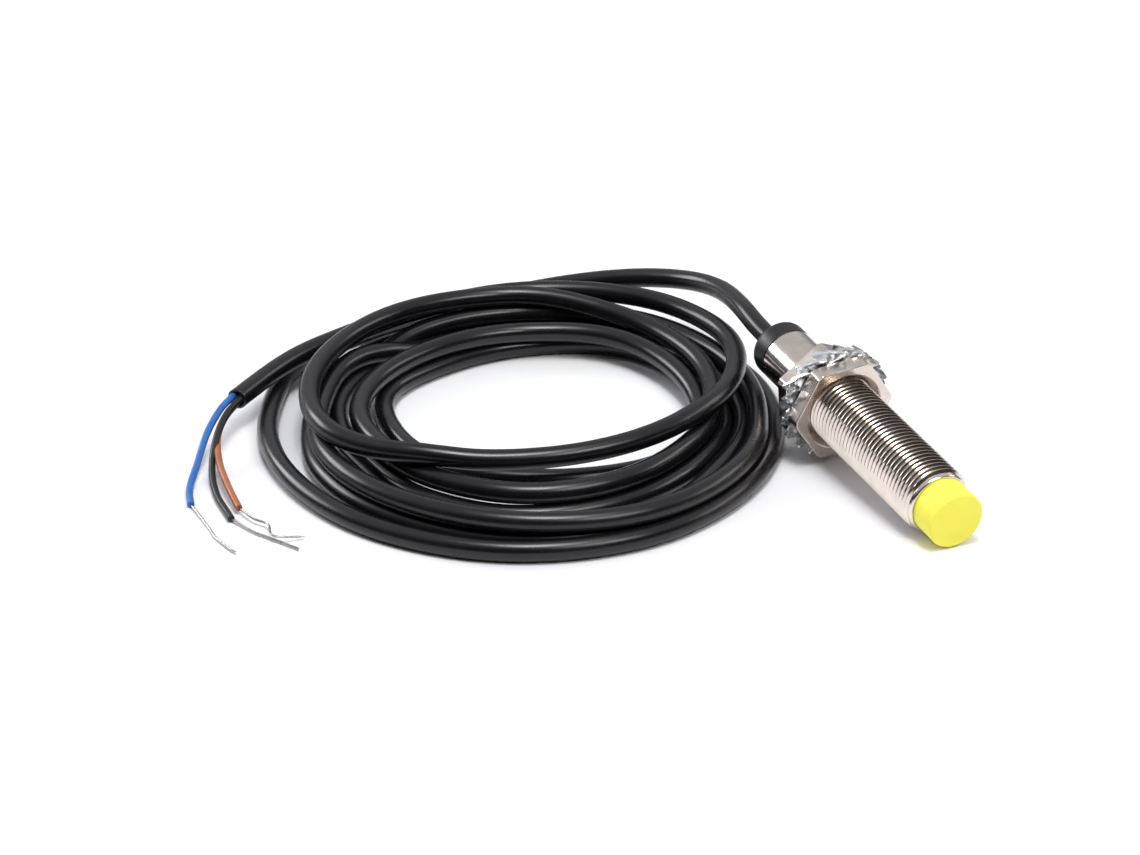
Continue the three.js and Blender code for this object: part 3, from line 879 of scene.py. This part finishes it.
class SENSOR_OT_end_caps(bpy.types.Operator):
    """Make the yellow sensing cap and the black rear cap"""

    bl_idname = "sensor.end_caps"
    bl_label = "End Caps"

    STEPS = 128
    SKIRT = 6.0  # mm that the yellow cap reaches into the barrel
    SKIRT_GAP = 0.06
    REAR_HOLE, REAR_OUTER = 2.0, 5.2  # mm, radius of the cable's hole and of the cap
    NUB_RADIUS = 0.28
    NUB_PLACE = (-0.5, 1.2, 4.97)

    def execute(self, context):
        settings = context.scene.sensor_body
        radius, front = settings.cap_radius / MM, settings.cap_front / MM
        seam = settings.barrel_length / MM
        yellow = Finish("yellow_cap_plastic", settings.cap_colour, 0.5)
        yellow.set("Subsurface Weight", 0.3)
        yellow.set("Subsurface Radius", (0.0012, 0.0009, 0.0002))
        red, green, blue = settings.cap_colour
        yellow.colours(
            yellow.noise(240), (0.3, (red, green * 0.97, blue)), (0.7, (red, green, blue))
        )
        yellow.rough(yellow.noise(800, 4), 0.44, 0.6)
        yellow.bump(yellow.noise(2200), 0.00003, 0.35)
        back, inner = seam - self.SKIRT, radius - self.SKIRT_GAP
        outline = [
            (back, radius - 0.62), (back, inner), (seam + 0.02, inner), (seam + 0.12, radius),
            (front, radius), (front - 0.03, 0),  # the face is slightly hollow
        ]
        cap = turned([(back, 0), *rounded(outline, {3: 0.05, 4: 0.32}, 5)], self.STEPS)
        finished(
            cap, "yellow_sensing_cap", BARREL_FRAME, yellow.material, "sensor",
            ("sensing_cap",), sharp=40,
        )

        black = moulded_plastic("black_cap_plastic", settings.end_colour, 0.4)
        hole, outer, rear = self.REAR_HOLE, self.REAR_OUTER, CABLE_EXIT
        outline = [
            (0.02, 3.0), (0.02, 4.9), (-0.12, 4.9), (-0.12, outer), (rear, outer), (rear, hole),
            (-1.2, hole), (-1.2, 3.0), (0.02, 3.0),
        ]
        end = turned(rounded(outline, {3: 0.12, 4: 1.6, 5: 0.25}, 8), self.STEPS)
        merge(end, 1e-4)
        nub = bmesh.new()  # a small raised mark at the rim
        bmesh.ops.create_uvsphere(nub, u_segments=16, v_segments=10, radius=self.NUB_RADIUS)
        bmesh.ops.scale(nub, vec=(1.2, 1.0, 0.7), verts=nub.verts)
        bmesh.ops.translate(nub, vec=self.NUB_PLACE, verts=nub.verts)
        joined(end, nub)
        finished(
            end, "black_rear_cap", BARREL_FRAME, black, "sensor",
            ("rear_end_cap",), sharp=40,
        )
        return {"FINISHED"}


class SENSOR_OT_nuts(bpy.types.Operator):
    """Make the two hexagon nuts with their threads and countersinks"""

    bl_idname = "sensor.nuts"
    bl_label = "Nuts"

    STEPS = 360
    EDGE = 0.14  # mm of bevel round each face
    PLACES = {  # rear face on the barrel in mm, and a corner's angle about the barrel in degrees
        "front_nut": (16.5, 5.6),
        "rear_nut": (11.3, 38.7),
    }
    THREAD_CLEARANCE = 0.1
    FACE_RING = 0.6  # mm from the flats in to the face's outer ring

    def hexagon(self, angle, settings):
        """The nut's outer radius at that angle from a corner, in mm."""
        half_flat = math.radians(30)
        off_corner = (angle + half_flat) % (2 * half_flat) - half_flat
        off_flat = half_flat - abs(off_corner)
        across = settings.across_flats / MM / 2 / math.cos(off_flat)
        return min(across, settings.corner_radius / MM)

    def nut(self, name, settings, thread, metal):
        """The nut of that name, with the thread's sizes from the barrel."""
        rear, corner = self.PLACES[name]
        front = rear + settings.nut_thickness / MM
        wide = settings.countersink_radius / MM
        pitch = thread.thread_pitch / MM
        crest = thread.thread_radius / MM + self.THREAD_CLEARANCE
        root = crest - thread.thread_depth / MM
        full = settings.across_flats / MM  # well outside the hexagon, and cut to it below
        sink = wide - crest  # the countersinks are at 45 degrees
        edge, lip = self.EDGE, self.EDGE * 0.3
        flat = full / 2 - self.FACE_RING
        profile = [
            (front - sink, crest), (front - 0.05, wide - 0.05), (front, wide + 0.06),
            (front, flat), (front, full), (front - lip, full), (front - edge, full),
            (rear + edge, full), (rear + lip, full), (rear, full), (rear, flat),
            (rear, wide + 0.06), (rear + 0.05, wide - 0.05), (rear + sink, crest),
        ]
        bm = turned(profile, self.STEPS, start=math.radians(corner))
        inset = {front: edge, front - lip: lip, rear: edge, rear + lip: lip}
        for v in bm.verts:
            radius = math.hypot(v.co.y, v.co.z)
            if radius < full - 0.1:
                continue
            angle = math.atan2(v.co.z, v.co.y) - math.radians(corner)
            near = min(inset, key=lambda x: abs(x - v.co.x))
            cut = inset[near] if abs(near - v.co.x) < 0.01 else 0.0
            scale = (self.hexagon(angle, settings) - cut) / radius
            v.co.y *= scale
            v.co.z *= scale
        joined(bm, screw_thread(crest, root, pitch, rear + sink, front - sink))
        merge(bm, 1e-4)
        for x in (rear + sink, front - sink):
            bmesh.ops.bridge_loops(bm, edges=rim(bm, x))
        finished(
            bm, f"{name}_hexagon", BARREL_FRAME, metal, name, (name,),
            sharp=18,
        )

    def execute(self, context):
        settings, thread = context.scene.sensor_fasteners, context.scene.sensor_body
        nickel = plated_metal("nickel_nuts", thread.plating, 0.24, grain=300)
        for name in self.PLACES:
            self.nut(name, settings, thread, nickel)
        return {"FINISHED"}


class SENSOR_OT_washers(bpy.types.Operator):
    """Make the two toothed lock washers"""

    bl_idname = "sensor.washers"
    bl_label = "Washers"

    PLACES = {  # middle of the washer on the barrel in mm, and its first tooth's angle in degrees
        "front": (15.925, 4.0),
        "rear": (14.875, 15.25),
    }
    STEPS = 160
    TOOTH_ROOT = 2.35  # mm wide where it leaves the ring
    TOOTH_FLARE = 1.15  # mm wider at its tip
    TOOTH_OVERLAP = 0.35  # mm that it reaches into the ring
    TIP_GAP = 0.12
    ROOM = 0.53  # mm that a tooth may stand out beside a nut
    MORE_ROOM = 0.62  # mm more past the nut's corners
    CORNERS_END, ROOM_SLOPE = 9.1, 0.7  # mm

    def washer(self, side, settings, zinc):
        """The front or rear washer, with its teeth twisted out of its plane."""
        middle, first = self.PLACES[side]
        sheet, bore = settings.washer_sheet / MM, settings.washer_bore / MM
        outer, ring = settings.washer_radius / MM, settings.washer_rim / MM
        bm = turned(
            rounded(
                [(-sheet / 2, bore + 0.4), (-sheet / 2, bore), (sheet / 2, bore),
                 (sheet / 2, ring), (-sheet / 2, ring), (-sheet / 2, bore + 0.4)],
                {1: 0.08, 2: 0.08, 3: 0.06, 4: 0.06}, 2,
            ),
            self.STEPS,
        )
        tooth = bmesh.new()
        bmesh.ops.create_cube(tooth, size=1.0)
        bmesh.ops.subdivide_edges(tooth, edges=tooth.edges, cuts=5, use_grid_fill=True)
        inside = ring - self.TOOTH_OVERLAP
        for v in tooth.verts:
            share = v.co.z + 0.5  # from the ring to the tip
            width = self.TOOTH_ROOT + self.TOOTH_FLARE * min(1.0, share * 1.5)
            twist = settings.tooth_twist * (3 * share**2 - 2 * share**3)
            across, thick = v.co.y * width, v.co.x * sheet
            radius = inside + (outer - self.TIP_GAP - inside) * share
            stands_out = thick * math.cos(twist) + across * math.sin(twist)
            past_nut = (radius - self.CORNERS_END) / self.ROOM_SLOPE
            room = self.ROOM + self.MORE_ROOM * max(0.0, min(1.0, past_nut))
            v.co = Vector((
                max(-room, min(room, stands_out)),
                across * math.cos(twist) - thick * math.sin(twist),
                radius,
            ))
        rims = [e for e in tooth.edges if e.calc_face_angle(0.0) > math.radians(60)]
        bmesh.ops.bevel(
            tooth, geom=rims, offset=0.05, offset_type="OFFSET", segments=2, profile=0.5,
            affect="EDGES", material=-1,
        )
        bmesh.ops.rotate(
            tooth, cent=(0, 0, 0), verts=tooth.verts,
            matrix=Matrix.Rotation(math.radians(first), 3, "X"),
        )
        copies = settings.teeth - 1
        spun(
            tooth, everything(tooth), 2 * math.pi * copies / settings.teeth, copies,
            use_duplicate=True,
        )
        joined(bm, tooth)
        lying = BARREL_REAR.z / AXIS.x - 0.01  # no tooth reaches below the surface it lies on
        keep_within(
            bm, lambda co: min(outer, lying + (co.x + middle) * AXIS.z / AXIS.x)
        )
        bmesh.ops.translate(bm, vec=(middle, 0, 0), verts=bm.verts)
        finished(
            bm, f"{side}_toothed_washer", BARREL_FRAME, zinc, f"{side}_washer",
            (f"{side}_lock_washer",), sharp=25,
        )

    def execute(self, context):
        settings = context.scene.sensor_fasteners
        zinc = plated_metal("bright_zinc", settings.zinc, 0.26, grain=700)
        for side in self.PLACES:
            self.washer(side, settings, zinc)
        return {"FINISHED"}


INSIDE_METALS = ("copper_wire", "tinned_copper")  # the other slots below are plastics
# (slot, colour, roughness) of the pieces inside the barrel.
INSIDE_FINISHES = [
    ("copper_wire", (0.72, 0.30, 0.13), 0.3),
    ("tinned_copper", (0.62, 0.62, 0.64), 0.3),
    ("ferrite", (0.035, 0.034, 0.036), 0.6),
    ("natural_plastic", (0.72, 0.68, 0.58), 0.5),
    ("board_laminate", (0.02, 0.16, 0.06), 0.45),
    ("chip_epoxy", (0.015, 0.015, 0.017), 0.5),
    ("ceramic", (0.52, 0.42, 0.29), 0.4),
    ("red_lens", (0.6, 0.02, 0.015), 0.2),
    ("film", (0.75, 0.55, 0.18), 0.3),
    ("resin", (0.03, 0.025, 0.022), 0.35),
    ("cable_pvc", (0.009, 0.008, 0.0095), 0.4),
    ("blue_pvc", (0.018, 0.12, 0.55), 0.4),
    ("brown_pvc", (0.36, 0.115, 0.045), 0.4),
    ("black_pvc", (0.012, 0.011, 0.012), 0.4),
]


class SENSOR_OT_electronics(bpy.types.Operator):
    """Finish the board, coil, ferrite and wires inside the barrel"""

    bl_idname = "sensor.electronics"
    bl_label = "Electronics"

    def execute(self, context):
        slots = {row["node"]: row["material_slot"] for row in frame["record"]["subparts"]}
        made = {}
        for slot, colour, roughness in INSIDE_FINISHES:
            make = plated_metal if slot in INSIDE_METALS else moulded_plastic
            made[slot] = make(f"inner_{slot}", colour, roughness)
        for name, node in frame["nodes"].items():
            if node.hide_render:  # a piece made here stands for it
                continue
            for holder in node.material_slots:
                holder.material = made[slots[name]]
        return {"FINISHED"}


class SENSOR_PT_pieces(bpy.types.Panel):
    """Sizes, colours and pieces of the proximity sensor"""

    bl_idname = "SENSOR_PT_pieces"
    bl_label = "Proximity Sensor"
    bl_space_type = "VIEW_3D"
    bl_region_type = "UI"
    bl_category = "Sensor"

    def draw(self, context):
        column = self.layout.column()
        for operator in OPERATORS:
            column.operator(operator.bl_idname)
        for attribute, group in SETTINGS.items():
            settings = getattr(context.scene, attribute)
            column.label(text=group.__doc__)
            for name in group.__annotations__:
                column.prop(settings, name)


SETTINGS = {
    "sensor_stage": StageSettings,
    "sensor_cable": CableSettings,
    "sensor_body": SensorSettings,
    "sensor_fasteners": FastenerSettings,
}
OPERATORS = [
    SENSOR_OT_stage, SENSOR_OT_cable, SENSOR_OT_cores, SENSOR_OT_barrel, SENSOR_OT_end_caps,
    SENSOR_OT_nuts, SENSOR_OT_washers, SENSOR_OT_electronics,
]


def register():
    for cls in (*SETTINGS.values(), *OPERATORS, SENSOR_PT_pieces):
        bpy.utils.register_class(cls)
    for attribute, group in SETTINGS.items():
        setattr(bpy.types.Scene, attribute, PointerProperty(type=group))


def unregister():
    for attribute in SETTINGS:
        delattr(bpy.types.Scene, attribute)
    for cls in reversed((*SETTINGS.values(), *OPERATORS, SENSOR_PT_pieces)):
        bpy.utils.unregister_class(cls)


def main():
    register()
    bpy.ops.sensor.stage()
    bpy.ops.sensor.cable()
    bpy.ops.sensor.cores()
    bpy.ops.sensor.barrel()
    bpy.ops.sensor.end_caps()
    bpy.ops.sensor.nuts()
    bpy.ops.sensor.washers()
    bpy.ops.sensor.electronics()


if __name__ == "__main__":
    main()
